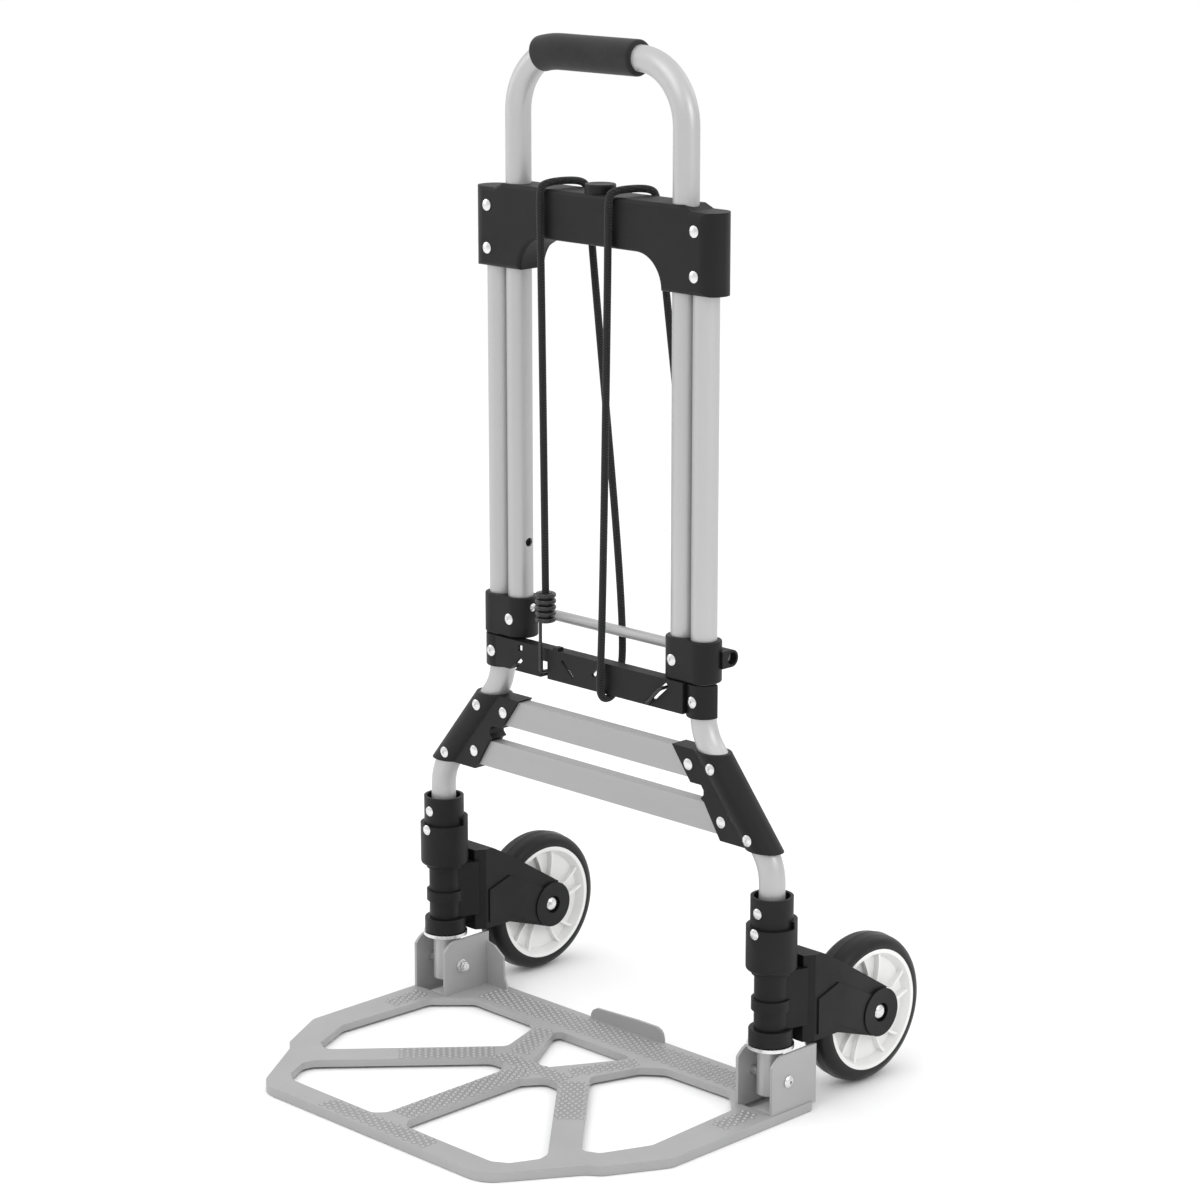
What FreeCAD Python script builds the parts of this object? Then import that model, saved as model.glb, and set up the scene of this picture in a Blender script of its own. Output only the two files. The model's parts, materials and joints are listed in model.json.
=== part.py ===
import FreeCAD, Part
import math
import os
import Sketcher
from FreeCAD import Vector as V

# Folding luggage cart: telescopic U handle, two bent frame tubes, folding toe plate
# and two swing-in wheels.  +Z up, toe plate towards -Y, wheels at +Y, floor at Z = 0,
# origin midway between the tubes.
doc = FreeCAD.newDocument("luggage_cart")

DIMENSIONS = {
    "tube_dia": 19.0, "tube_wall": 1.5, "frame_x": 104.0, "handle_x": 84.0, "foot_x": 172.0,
    "frame_top": 640.0, "bend_high": 271.0, "bend_low": 187.5, "frame_end": 16.0, "frame_bend": 40.0,
    "handle_end": 311.0, "handle_top": 745.4, "handle_bend": 45.0,
    "grip_dia": 26.0, "grip_left": 60.0, "grip_bend": 80.0,
    "yoke_low": 587.0, "yoke_bar_low": 612.0, "yoke_block_top": 645.0, "yoke_top": 648.5,
    "yoke_front": 13.0, "yoke_back": 18.5, "yoke_arch": 25.0,
    "rivet_high": 631.7, "rivet_low": 600.3, "pin_level": 624.0, "pin_dia": 6.0, "lock_low": 382.0,
    "button_dia": 22.6, "button_top": 655.3,
    "slider_low": 309.5, "slider_top": 340.0, "slider_dia": 26.0, "slider_screw": 323.5,
    "rod_dia": 8.0, "rod_bore": 5.0, "rod_level": 326.0, "rod_back": 14.0, "rod_half": 113.0,
    "clamp_low": 283.5, "clamp_top": 308.5, "clamp_dia": 25.0, "clamp_screw": 295.7,
    "bar_low": 286.0, "bar_top": 309.0, "bar_front": 14.5, "bar_back": 4.0, "bar_skin": 2.5,
    "shell_dia": 24.0, "shell_top": 259.5, "shell_low": 197.0, "arm_half": 7.5,
    "cross_high": 247.5, "cross_low": 211.0, "cross_tall": 21.0, "cross_deep": 10.0, "cross_wall": 1.4,
    "cross_half_high": 102.0, "cross_half_low": 131.7, "side_screw": 332.6,
    "housing_low": 109.8, "housing_step": 143.0, "housing_top": 165.0, "housing_dia": 37.0,
    "housing_upper_dia": 31.0, "neck_dia": 24.4, "ring_dia": 28.5, "collar_dia": 32.0,
    "collar_low": 54.2, "collar_top": 66.0, "washer_low": 51.6, "washer_dia": 34.4,
    "wheel_y": 98.5, "wheel_radius": 56.0, "rim_radius": 45.5, "wheel_width": 25.0, "axle_dia": 8.0,
    "pivot_level": 29.0, "pivot_dia": 6.0,
    "plate_top": 7.0, "plate_skin": 2.2, "plate_half": 191.0, "plate_front": 233.0, "plate_rear": 34.0,
    "cord_dia": 5.5, "wire_dia": 2.6, "joint_gap": 0.3, "fit_gap": 0.05,
}

sheet = doc.addObject("Spreadsheet::Sheet", "dimensions")
for row, (alias, size) in enumerate(DIMENSIONS.items(), start=1):
    sheet.set("A%d" % row, alias)
    sheet.set("B%d" % row, str(size))
    sheet.setAlias("B%d" % row, alias)
doc.recompute()


def dim(alias):
    """Value of one driving dimension, read back from the sheet."""
    return float(getattr(sheet, alias))


X_AXIS = V(1, 0, 0)
Y_AXIS = V(0, 1, 0)
Z_AXIS = V(0, 0, 1)
ORIGIN = V(0, 0, 0)
TUBE_R = dim("tube_dia") / 2
SIDES = (("left", -1), ("right", 1))


# ---------------------------------------------------------------- helpers
def feature(label, shape):
    """Add a finished shape as its own named piece."""
    piece = doc.addObject("Part::Feature", label)
    piece.Label = label
    piece.Shape = shape
    piece.Placement = shape.Placement
    return piece


def rod(start, end, radius):
    """Solid cylinder between two points."""
    along = end - start
    return Part.makeCylinder(radius, along.Length, start, along)


def box(low, high):
    """Solid box between two opposite corners."""
    size = high - low
    return Part.makeBox(size.x, size.y, size.z, low)


def ring(x, y, low, high, outer, inner):
    """Upright tube segment round a vertical axis."""
    body = rod(V(x, y, low), V(x, y, high), outer)
    return body.cut(rod(V(x, y, low - 1), V(x, y, high + 1), inner))


def fuse_all(shapes):
    """One solid from several overlapping shapes."""
    return shapes[0].multiFuse(shapes[1:]).removeSplitter()


def fuse_loose(shapes):
    """Union of shapes that may or may not touch."""
    return shapes[0].multiFuse(shapes[1:])


def prism(points, start, travel):
    """Polygon given as (a, b) pairs in the plane across `travel`, extruded along it."""
    if abs(travel.y) > 0:
        corners = [V(a, start, b) for a, b in points]
    elif abs(travel.x) > 0:
        corners = [V(start, a, b) for a, b in points]
    else:
        corners = [V(a, b, start) for a, b in points]
    wire = Part.makePolygon(corners + [corners[0]])
    return Part.Face(wire).extrude(travel)


def mirrored(shape):
    """The same shape on the other side of the middle plane."""
    return shape.mirror(ORIGIN, X_AXIS)


def on_side(shape, sign):
    """Shape made for the right side, put on the asked side."""
    return shape if sign > 0 else mirrored(shape)


def rounded_path(points, radii):
    """Wire of straight runs joined by tangent arcs, one radius per inner corner."""
    edges = []
    here = points[0]
    for i, radius in enumerate(radii, start=1):
        corner = points[i]
        into = (corner - points[i - 1]).normalize()
        out = (points[i + 1] - corner).normalize()
        turn = into.getAngle(out)
        back = radius * math.tan(turn / 2)
        begin = corner - into * back
        finish = corner + out * back
        inward = (out - into).normalize()
        middle = corner + inward * (radius / math.cos(turn / 2) - radius)
        edges.append(Part.LineSegment(here, begin).toShape())
        edges.append(Part.Arc(begin, middle, finish).toShape())
        here = finish
    edges.append(Part.LineSegment(here, points[-1]).toShape())
    return Part.Wire(edges)


def swept(path, radius):
    """Round bar along a wire."""
    first = path.Edges[0]
    profile = Part.Wire(Part.makeCircle(radius, first.valueAt(first.FirstParameter),
                                        first.tangentAt(first.FirstParameter)))
    return path.makePipeShell([profile], True, False)


def domed(point, outward, head_radius, head_height, shank_radius, shank_length):
    """Rivet or screw: low dome on the surface, shank going inwards."""
    skirt = head_height * 0.35
    lip = rod(point, point + outward * skirt, head_radius)
    rise = head_height - skirt
    ball_radius = (head_radius ** 2 + rise ** 2) / (2 * rise)
    ball = Part.makeSphere(ball_radius, point + outward * (head_height - ball_radius))
    cap = ball.common(rod(point + outward * skirt, point + outward * (head_height + 1), head_radius))
    shank = rod(point - outward * shank_length, point, shank_radius)
    return fuse_all([lip, cap, shank])


def socket_screw(point, outward, head_radius, head_height, shank_radius, shank_length):
    """Domed screw with a small drive socket."""
    screw = domed(point, outward, head_radius, head_height, shank_radius, shank_length)
    mouth = point + outward * (head_height + 0.2)
    return screw.cut(rod(mouth - outward * (head_height * 0.8), mouth, head_radius * 0.28))


def coil(x, y, low, turns, pitch, mean_radius, wire_radius):
    """Spring standing on Z: level turns joined by short risers on alternate sides."""
    parts = []
    for i in range(turns + 1):
        level = low + wire_radius + i * pitch
        parts.append(Part.makeTorus(mean_radius, wire_radius, V(x, y, level), Z_AXIS))
        if i < turns:
            side = x + mean_radius * (-1) ** i
            parts.append(rod(V(side, y, level), V(side, y, level + pitch), wire_radius * 0.9))
    return fuse_all(parts)


def group(shapes):
    """Separate solids that share one name."""
    return Part.makeCompound(shapes)


# ---------------------------------------------------------------- fasteners' places
YOKE_RIVETS = [V(s * dim("frame_x"), 0, z) for s in (-1, 1) for z in (dim("rivet_high"), dim("rivet_low"))]
SHELL_SCREWS = (V(121.6, 0, 249.6), V(158.0, 0, 204.7))
SHELL_RIVETS = (V(96.5, 0, 247.5), V(129.0, 0, 211.0))
HOUSING_RIVETS = (V(172.0, 0, 154.5), V(172.0, 0, 140.0))
SCREW_HEAD = 4.2
RIVET_HEAD = 3.9
SEAT_SINK = 0.6
SHANK_R = 2.0
HOLE_R = 2.1
SIDE_HOLE_R = 1.6
SIDE_HEAD = 3.0


def across(point, radius, front=-40, back=40):
    """Drill along Y through a point."""
    return rod(V(point.x, front, point.z), V(point.x, back, point.z), radius)


def seat(point, surface, head_radius):
    """Flat spot-face for a head on the front of a round surface."""
    depth = SEAT_SINK - surface
    return rod(V(point.x, depth, point.z), V(point.x, depth - 6, point.z), head_radius + 0.1)


# ---------------------------------------------------------------- tubes
def frame_route():
    """Centreline of the right frame tube, top to bottom."""
    points = [V(dim("frame_x"), 0, dim("frame_top")), V(dim("frame_x"), 0, dim("bend_high")),
              V(dim("foot_x"), 0, dim("bend_low")), V(dim("foot_x"), 0, dim("frame_end"))]
    return rounded_path(points, [dim("frame_bend"), dim("frame_bend")])


def frame_tube():
    """Right frame tube: yoke to toe-plate pivot, stepped outwards below the hook bar."""
    outer = swept(frame_route(), TUBE_R)
    inner = swept(frame_route(), TUBE_R - dim("tube_wall"))
    pivot = V(dim("foot_x"), 0, dim("pivot_level"))
    holes = [across(V(dim("frame_x"), 0, z), HOLE_R) for z in (dim("rivet_high"), dim("rivet_low"))]
    holes += [across(V(dim("frame_x"), 0, dim("clamp_screw")), HOLE_R, back=0)]
    holes += [across(p, HOLE_R, back=0) for p in SHELL_SCREWS]
    holes += [across(p, HOLE_R, back=0) for p in HOUSING_RIVETS]
    holes.append(rod(pivot - X_AXIS * 30, pivot + X_AXIS * 30, dim("pivot_dia") / 2 + dim("fit_gap")))
    return outer.cut(inner).cut(fuse_loose(holes))


def side_drill(sign):
    """Drill along X for the small screw on the inner side of a slider."""
    level = dim("side_screw")
    return rod(V(sign * 66, 0, level), V(sign * 80, 0, level), SIDE_HOLE_R)


def handle_route():
    """Centreline of the U handle."""
    x, low, top = dim("handle_x"), dim("handle_end"), dim("handle_top")
    points = [V(-x, 0, low), V(-x, 0, top), V(x, 0, top), V(x, 0, low)]
    return rounded_path(points, [dim("handle_bend"), dim("handle_bend")])


def handle_tube():
    """U-shaped telescopic handle with lock holes on its inner walls."""
    outer = swept(handle_route(), TUBE_R)
    inner = swept(handle_route(), TUBE_R - dim("tube_wall"))
    holes = []
    for sign in (-1, 1):
        for level in (dim("lock_low"), dim("pin_level")):
            holes.append(rod(V(0, 0, level) + X_AXIS * sign * 70, V(0, 0, level) + X_AXIS * sign * 80,
                             dim("pin_dia") / 2 + dim("joint_gap")))
        holes.append(across(V(sign * dim("handle_x"), 0, dim("slider_screw")), HOLE_R, back=0))
        holes.append(side_drill(sign))
    return outer.cut(inner).cut(fuse_loose(holes))


def grip():
    """Foam sleeve over the handle's cross-piece, sagging a little where it runs on over the left bend."""
    top, bend = dim("handle_top"), dim("grip_bend")
    centre_x = dim("handle_x") - dim("handle_bend")
    lean = math.asin((dim("grip_left") - centre_x) / bend)

    def on_bend(angle):
        return V(-centre_x - bend * math.sin(angle), 0, top - bend + bend * math.cos(angle))

    arc = Part.Arc(on_bend(lean), on_bend(lean / 2), on_bend(0)).toShape()
    straight = Part.LineSegment(on_bend(0), V(centre_x, 0, top)).toShape()
    path = Part.Wire([arc, straight])
    return swept(path, dim("grip_dia") / 2).cut(swept(handle_route(), TUBE_R))


# ---------------------------------------------------------------- yoke
def yoke_outline():
    """Front view of the yoke: cross bar between two deeper end blocks, arched below."""
    low, bar_low = dim("yoke_low"), dim("yoke_bar_low")
    block_top, top, arch = dim("yoke_block_top"), dim("yoke_top"), dim("yoke_arch")
    end_x = dim("frame_x") + 17.5
    inner_x = 71.0
    arch_x = inner_x - arch
    lean = math.sqrt(0.5)
    right = [V(arch_x, 0, bar_low), V(inner_x, 0, low), V(end_x, 0, low), V(end_x, 0, block_top),
             V(98, 0, block_top), V(90, 0, top)]
    left = [V(-p.x, 0, p.z) for p in reversed(right)]
    arch_right = V(arch_x + arch * lean, 0, low + arch * lean)
    arch_left = V(-arch_right.x, 0, arch_right.z)
    edges = [Part.Arc(right[0], arch_right, right[1]).toShape()]
    chain = right[1:] + left[:-1]
    edges += [Part.LineSegment(a, b).toShape() for a, b in zip(chain, chain[1:])]
    edges.append(Part.Arc(left[-2], arch_left, left[-1]).toShape())
    edges.append(Part.LineSegment(left[-1], right[0]).toShape())
    return Part.Face(Part.Wire(edges))


def yoke_block():
    """Outer form of the yoke before it is hollowed."""
    front, back = dim("yoke_front"), dim("yoke_back")
    face = yoke_outline()
    face.translate(V(0, -front, 0))
    form = face.extrude(V(0, front + back, 0))
    rim = [e for e in form.Edges if abs(e.BoundBox.YMin + front) < 0.01 and e.BoundBox.YLength < 0.01]
    form = form.makeFillet(3.0, rim)
    rear_top = [e for e in form.Edges if abs(e.BoundBox.YMin - back) < 0.01 and e.BoundBox.YLength < 0.01
                and e.BoundBox.ZMin > dim("yoke_top") - 0.1]
    form = form.makeFillet(4.0, rear_top)
    low, high = dim("yoke_low") - 1, dim("yoke_top") + 1
    end_x = dim("frame_x") + 17.5 - front
    plan = [box(V(-end_x, -front - 1, low), V(end_x, front, high)),
            rod(V(-end_x, 0, low), V(-end_x, 0, high), front),
            rod(V(end_x, 0, low), V(end_x, 0, high), front),
            prism([(-66, front - 1), (-58, back + 1), (58, back + 1), (66, front - 1)], low, V(0, 0, high - low))]
    return form.common(fuse_loose(plan))


def yoke_solid():
    """Hollow yoke with bores for the tubes, button, pins and rivets."""
    pin_z = dim("pin_level")
    cavity = [box(V(-67.5, -10.5, 615), V(67.5, 10.5, 645.3)), box(V(-54, 9, 616), V(54, 15.8, 642))]
    ribs = [box(V(s * 38 - 2, -11, 614), V(s * 38 + 2, 11, 646)) for s in (-1, 1)]
    hollow = fuse_loose(cavity).cut(fuse_loose(ribs))
    tools = [hollow]
    tools.append(rod(V(0, 0, 636.5), V(0, 0, 652), dim("button_dia") / 2 + dim("joint_gap")))
    tools.append(rod(V(-76, 0, pin_z), V(76, 0, pin_z), dim("pin_dia") / 2 + dim("fit_gap")))
    for sign in (-1, 1):
        frame, handle = sign * dim("frame_x"), sign * dim("handle_x")
        tools.append(rod(V(frame, 0, 580), V(frame, 0, dim("frame_top")), TUBE_R))
        tools.append(rod(V(handle, 0, 580), V(handle, 0, 660), TUBE_R + dim("joint_gap")))
    tools += [across(p, HOLE_R) for p in YOKE_RIVETS]
    return yoke_block().cut(fuse_loose(tools))


def yoke_halves():
    """Front shell and rear cover, split on the tubes' plane."""
    whole = yoke_solid()
    front = whole.common(box(V(-150, -50, 500), V(150, 0, 700)))
    rear = whole.common(box(V(-150, 0, 500), V(150, 50, 700)))
    return front, rear


def yoke_rivets():
    """Domed rivets through both yoke shells and the frame tubes."""
    depth = dim("yoke_front")
    rivets = []
    for place in YOKE_RIVETS:
        front = domed(V(place.x, -depth, place.z), -Y_AXIS, 4.2, 1.5, SHANK_R, 2 * depth)
        tail = rod(V(place.x, depth, place.z), V(place.x, depth + 1.0, place.z), 3.4)
        rivets.append(fuse_all([front, tail]))
    return group(rivets)


# ---------------------------------------------------------------- lock
SLOT_X = 15.0
SLOT_RUN = 4.0
PRESS = 5.0


def button():
    """Release button: dished cap, retaining flange and a cam plate with two sloping slots."""
    radius, top = dim("button_dia") / 2, dim("button_top")
    cap = rod(V(0, 0, 642), V(0, 0, top), radius)
    rim = [e for e in cap.Edges if abs(e.BoundBox.ZMin - top) < 0.01 and e.BoundBox.ZLength < 0.01]
    cap = cap.makeFillet(1.5, rim)
    dish = Part.makeSphere(90, V(0, 0, top + 90 - 0.9))
    flange = box(V(-16.5, -9, 642.6), V(16.5, 9, 645))
    plate = box(V(-20.5, -1.5, 620.9), V(20.5, 1.5, 644))
    middle = box(V(-8, -3, 610), V(8, 3, 640.6))
    slots = []
    for sign in (-1, 1):
        low = V(sign * SLOT_X, 0, dim("pin_level"))
        high = V(sign * (SLOT_X - SLOT_RUN), 0, dim("pin_level") + PRESS)
        across_slot = V(high.z - low.z, 0, low.x - high.x).normalize() * 1.75
        corners = [low + across_slot, high + across_slot, high - across_slot, low - across_slot]
        slots.append(prism([(c.x, c.z) for c in corners], -3, V(0, 6, 0)))
        slots += [across(low, 1.75, -3, 3), across(high, 1.75, -3, 3)]
    body = fuse_all([cap, flange, plate])
    return body.cut(fuse_loose([dish, middle] + slots))


def lock_pin():
    """Right lock pin: round nose, flat tongue beside the cam plate and a peg in its slot."""
    level, radius = dim("pin_level"), dim("pin_dia") / 2
    nose_end = dim("handle_x") - TUBE_R - dim("joint_gap")
    nose = rod(V(27, 0, level), V(nose_end, 0, level), radius)
    nose = nose.makeChamfer(0.8, [e for e in nose.Edges if e.BoundBox.XMin > nose_end - 0.01])
    heel = box(V(27, -2.5, level - 2.2), V(31, 4.6, level + 2.2))
    tongue = box(V(10.5, 2.2, level - 2.2), V(31, 4.6, level + 2.2))
    peg = rod(V(SLOT_X, -1.6, level), V(SLOT_X, 4.6, level), 1.4)
    return fuse_all([nose, heel, tongue, peg])


# ---------------------------------------------------------------- slider and rod
def slider_bracket():
    """Right slider: oval sleeve fixed on the handle tube, sliding on the frame tube, with a rod boss."""
    low, top, radius = dim("slider_low"), dim("slider_top"), dim("slider_dia") / 2
    handle, frame = dim("handle_x"), dim("frame_x")
    level, back = dim("rod_level"), dim("rod_back")
    oval = [rod(V(handle, 0, low), V(handle, 0, top), radius), rod(V(frame, 0, low), V(frame, 0, top), radius),
            box(V(handle, -radius, low), V(frame, radius, top))]
    body = fuse_all(oval)
    rims = [e for e in body.Edges if e.BoundBox.ZLength < 0.01]
    body = body.makeFillet(1.2, rims)
    boss = fuse_all([rod(V(76, back, level), V(118.5, back, level), 6.3),
                     box(V(76, 4, level - 6.3), V(118.5, back, level + 6.3))])
    body = fuse_all([body, boss])
    holes = [rod(V(handle, 0, low - 1), V(handle, 0, top + 1), TUBE_R),
             rod(V(frame, 0, low - 1), V(frame, 0, top + 1), TUBE_R + dim("joint_gap")),
             box(V(handle, -4, low - 1), V(frame, 4, top + 1)),
             rod(V(70, back, level), V(dim("rod_half") + 1, back, level), dim("rod_dia") / 2),
             rod(V(110, back, level), V(120, back, level), 4.6),
             across(V(handle, 0, dim("slider_screw")), HOLE_R, back=0),
             seat(V(handle, 0, dim("slider_screw")), radius, SCREW_HEAD), side_drill(1),
             rod(V(60, 0, dim("side_screw")), V(handle - radius + SEAT_SINK, 0, dim("side_screw")), SIDE_HEAD + 0.1)]
    return body.cut(fuse_loose(holes))


def slider_screws():
    """Socket screws holding the sliders to the handle tubes."""
    depth = dim("slider_dia") / 2 - SEAT_SINK
    return group([socket_screw(V(s * dim("handle_x"), -depth, dim("slider_screw")), -Y_AXIS,
                               SCREW_HEAD, 1.6, SHANK_R, 6.0) for s in (-1, 1)])


def side_screws():
    """Small socket screws on the inner sides of the sliders."""
    face = dim("handle_x") - dim("slider_dia") / 2 + SEAT_SINK
    return group([socket_screw(V(s * face, 0, dim("side_screw")), -X_AXIS * s, SIDE_HEAD, 1.8,
                               SIDE_HOLE_R - 0.1, 4.5) for s in (-1, 1)])


# ---------------------------------------------------------------- hook bar
def slanted_slot(x, z, length, width, degrees):
    """Slot tool in the front view, turned about Y."""
    tool = box(V(-length / 2, -30, -width / 2), V(length / 2, -8, width / 2))
    tool.rotate(ORIGIN, Y_AXIS, -degrees)
    tool.translate(V(x, 0, z))
    return tool


BAR_RIBS = (-60, -30, 40, 58)
BAR_SLOTS = ((-75, 289.5, 18, 3.4, 45), (-44.5, 292.5, 7, 13, 0), (-20, 297, 16, 2.6, -45),
             (11.5, 302, 15, 3.2, 45), (72, 296.5, 26, 4.6, 42), (-70, 304, 4.5, 4.5, 0))


def hook_bar():
    """Channel bar in front of the frame tubes with a half clamp on each, ribs and hook slots."""
    low, top, front, back = dim("bar_low"), dim("bar_top"), dim("bar_front"), dim("bar_back")
    skin, reach = dim("bar_skin"), dim("frame_x") - 12
    parts = [box(V(-reach, -front, low), V(reach, -front + skin, top)),
             box(V(-reach, -front, top - skin), V(reach, -back, top)),
             box(V(-reach, -front, low), V(reach, -back, low + skin)),
             box(V(-35, -front, top - 1), V(-30, -front + 6, top + 2.2))]
    for x in BAR_RIBS:
        parts.append(box(V(x - 1, -front, low), V(x + 1, -back, top)))
    clamp_r = dim("clamp_dia") / 2
    for sign in (-1, 1):
        x = sign * dim("frame_x")
        clamp = rod(V(x, 0, dim("clamp_low")), V(x, 0, dim("clamp_top")), clamp_r)
        rims = [e for e in clamp.Edges if e.BoundBox.ZLength < 0.01]
        parts.append(clamp.makeFillet(1.0, rims))
        parts.append(box(V(x - 4.5 - 11.5 * sign, -front, low), V(x + 4.5 - 11.5 * sign, -back, top)))
    body = fuse_all(parts)
    tools = [slanted_slot(*slot) for slot in BAR_SLOTS]
    for sign in (-1, 1):
        x = sign * dim("frame_x")
        screw = V(x, 0, dim("clamp_screw"))
        tools.append(rod(V(x, 0, 270), V(x, 0, 320), TUBE_R))
        tools.append(box(V(x - 20, 1.5, 270), V(x + 20, 30, 320)))
        tools += [across(screw, HOLE_R, back=0), seat(screw, clamp_r, SCREW_HEAD)]
    return body.cut(fuse_loose(tools))


def hook_bar_screws():
    """Socket screws through the clamps into the frame tubes."""
    depth = dim("clamp_dia") / 2 - SEAT_SINK
    return group([socket_screw(V(s * dim("frame_x"), -depth, dim("clamp_screw")), -Y_AXIS,
                               SCREW_HEAD, 1.7, SHANK_R, 5.3) for s in (-1, 1)])


# ---------------------------------------------------------------- joint shells and cross bars
def joint_shell():
    """Right joint shell: sleeve on the slanted tube with an arm for each cross bar."""
    low, top, half = dim("shell_low"), dim("shell_top"), dim("arm_half")
    start, finish = V(dim("frame_x"), 0, dim("bend_high")), V(dim("foot_x"), 0, dim("bend_low"))
    sleeve = rod(start, finish, dim("shell_dia") / 2)
    outline = [(120, top), (80, top), (98.5, 234.5), (109, 234.5), (111.5, 231), (111.5, 227.5), (108.5, 224.5),
               (112, 222.5), (128, low), (160, low)]
    web = prism(outline, -half, V(0, 2 * half, 0))
    slab = box(V(60, -30, low), V(200, 30, top))
    body = fuse_all([sleeve.common(slab), web])
    deep, tall = dim("cross_deep") / 2, dim("cross_tall") / 2
    pockets = [box(V(0, -deep, dim(level) - tall), V(dim(end), deep, dim(level) + tall))
               for level, end in (("cross_high", "cross_half_high"), ("cross_low", "cross_half_low"))]
    tools = pockets + [swept(frame_route(), TUBE_R)]
    tools += [across(p, HOLE_R, back=0) for p in SHELL_SCREWS] + [across(p, HOLE_R) for p in SHELL_RIVETS]
    tools += [seat(p, dim("shell_dia") / 2, SCREW_HEAD) for p in SHELL_SCREWS]
    return body.cut(fuse_loose(tools))


def joint_screws():
    """Socket screws holding the joint shells to the tubes."""
    depth = dim("shell_dia") / 2 - SEAT_SINK
    return group([socket_screw(V(s * p.x, -depth, p.z), -Y_AXIS, SCREW_HEAD, 1.7, SHANK_R, 5.3)
                  for s in (-1, 1) for p in SHELL_SCREWS])


def bar_rivets():
    """Domed rivets through the shell arms and cross bars."""
    depth = dim("arm_half")
    return group([domed(V(s * p.x, -depth, p.z), -Y_AXIS, 4.2, 1.5, SHANK_R, 2 * depth + 0.6)
                  for s in (-1, 1) for p in SHELL_RIVETS])


def cross_bar(label, level_alias, half_alias, rivet):
    """Rectangular tube: padded hollow section with a rivet hole near each end."""
    body = doc.addObject("PartDesign::Body", label)
    body.Label = label
    plane = [f for f in body.Origin.OriginFeatures if f.Role == "YZ_Plane"][0]
    sketch = body.newObject("Sketcher::SketchObject", label + "_section")
    sketch.AttachmentSupport = [(plane, "")]
    sketch.MapMode = "FlatFace"
    rectangle(sketch, 0.0, "cross_deep", "cross_tall")
    rectangle(sketch, dim("cross_wall"), "cross_deep", "cross_tall")
    pad = body.newObject("PartDesign::Pad", label + "_pad")
    pad.Profile = sketch
    pad.setExpression("Length", "2 * dimensions." + half_alias)
    pad.Midplane = True
    body.Tip = pad
    front = [f for f in body.Origin.OriginFeatures if f.Role == "XZ_Plane"][0]
    drill = body.newObject("Sketcher::SketchObject", label + "_holes")
    drill.AttachmentSupport = [(front, "")]
    drill.MapMode = "FlatFace"
    for sign in (-1, 1):
        drill.addGeometry(Part.Circle(V(sign * rivet.x, 0, 0), Z_AXIS, HOLE_R), False)
    pocket = body.newObject("PartDesign::Pocket", label + "_drill")
    pocket.Profile = drill
    pocket.Type = 1
    pocket.Midplane = True
    body.Tip = pocket
    body.setExpression("Placement.Base.z", "dimensions." + level_alias)
    return body


def rectangle(sketch, inset, wide_alias, tall_alias):
    """Centred rectangle whose sides follow the sheet, drawn smaller by the inset."""
    half_w, half_t = dim(wide_alias) / 2 - inset, dim(tall_alias) / 2 - inset
    corners = [V(-half_w, -half_t, 0), V(half_w, -half_t, 0), V(half_w, half_t, 0), V(-half_w, half_t, 0)]
    first = sketch.GeometryCount
    for a, b in zip(corners, corners[1:] + corners[:1]):
        sketch.addGeometry(Part.LineSegment(a, b), False)
    for i in range(4):
        sketch.addConstraint(Sketcher.Constraint("Coincident", first + i, 2, first + (i + 1) % 4, 1))
    for i in (0, 2):
        sketch.addConstraint(Sketcher.Constraint("Horizontal", first + i))
        sketch.addConstraint(Sketcher.Constraint("Vertical", first + i + 1))
    sketch.addConstraint(Sketcher.Constraint("Symmetric", first, 1, first + 1, 2, -1, 1))
    wide = sketch.addConstraint(Sketcher.Constraint("DistanceX", first, 1, first, 2, 2 * half_w))
    tall = sketch.addConstraint(Sketcher.Constraint("DistanceY", first + 1, 1, first + 1, 2, 2 * half_t))
    wall = " - 2 * dimensions.cross_wall" if inset else ""
    sketch.setExpression("Constraints[%d]" % wide, "dimensions.%s%s" % (wide_alias, wall))
    sketch.setExpression("Constraints[%d]" % tall, "dimensions.%s%s" % (tall_alias, wall))


# ---------------------------------------------------------------- swivel columns
def cam_housing():
    """Right fixed housing on the foot tube: open cup above, wide spring chamber below."""
    x, low, step, top = dim("foot_x"), dim("housing_low"), dim("housing_step"), dim("housing_top")
    wide = rod(V(x, 0, low), V(x, 0, step), dim("housing_dia") / 2)
    bottom = [e for e in wide.Edges if abs(e.BoundBox.ZMin - low) < 0.01 and e.BoundBox.ZLength < 0.01]
    wide = wide.makeFillet(3.0, bottom)
    upper = rod(V(x, 0, low), V(x, 0, top), dim("housing_upper_dia") / 2)
    shoulder = prism([(4, step - 1), (19, step - 1), (19, step + 5), (4, step + 5)], x - 19, V(38, 0, 0))
    shoulder = shoulder.common(rod(V(x, 0, step - 1), V(x, 0, step + 5), dim("housing_dia") / 2))
    body = fuse_all([wide, upper, shoulder])
    tools = [rod(V(x, 0, low - 1), V(x, 0, top), TUBE_R), rod(V(x, 0, step + 4), V(x, 0, top + 1), 13.2),
             ring(x, 0, low + 4, step - 5, 15.5, TUBE_R - 0.1)]
    tools += [across(p, HOLE_R, back=0) for p in HOUSING_RIVETS]
    tools += [seat(p, surface, RIVET_HEAD) for p, surface in zip(HOUSING_RIVETS, housing_radii())]
    return body.cut(fuse_loose(tools))


def housing_radii():
    """Outer radius of the housing at its upper and at its lower rivet."""
    return dim("housing_upper_dia") / 2, dim("housing_dia") / 2


def housing_rivets():
    """Two domed rivets on the front of each housing."""
    rivets = []
    for sign in (-1, 1):
        for place, surface in zip(HOUSING_RIVETS, housing_radii()):
            depth = surface - SEAT_SINK
            rivets.append(domed(V(sign * place.x, -depth, place.z), -Y_AXIS, RIVET_HEAD, 1.8, SHANK_R, depth - 7.5))
    return group(rivets)


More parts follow.
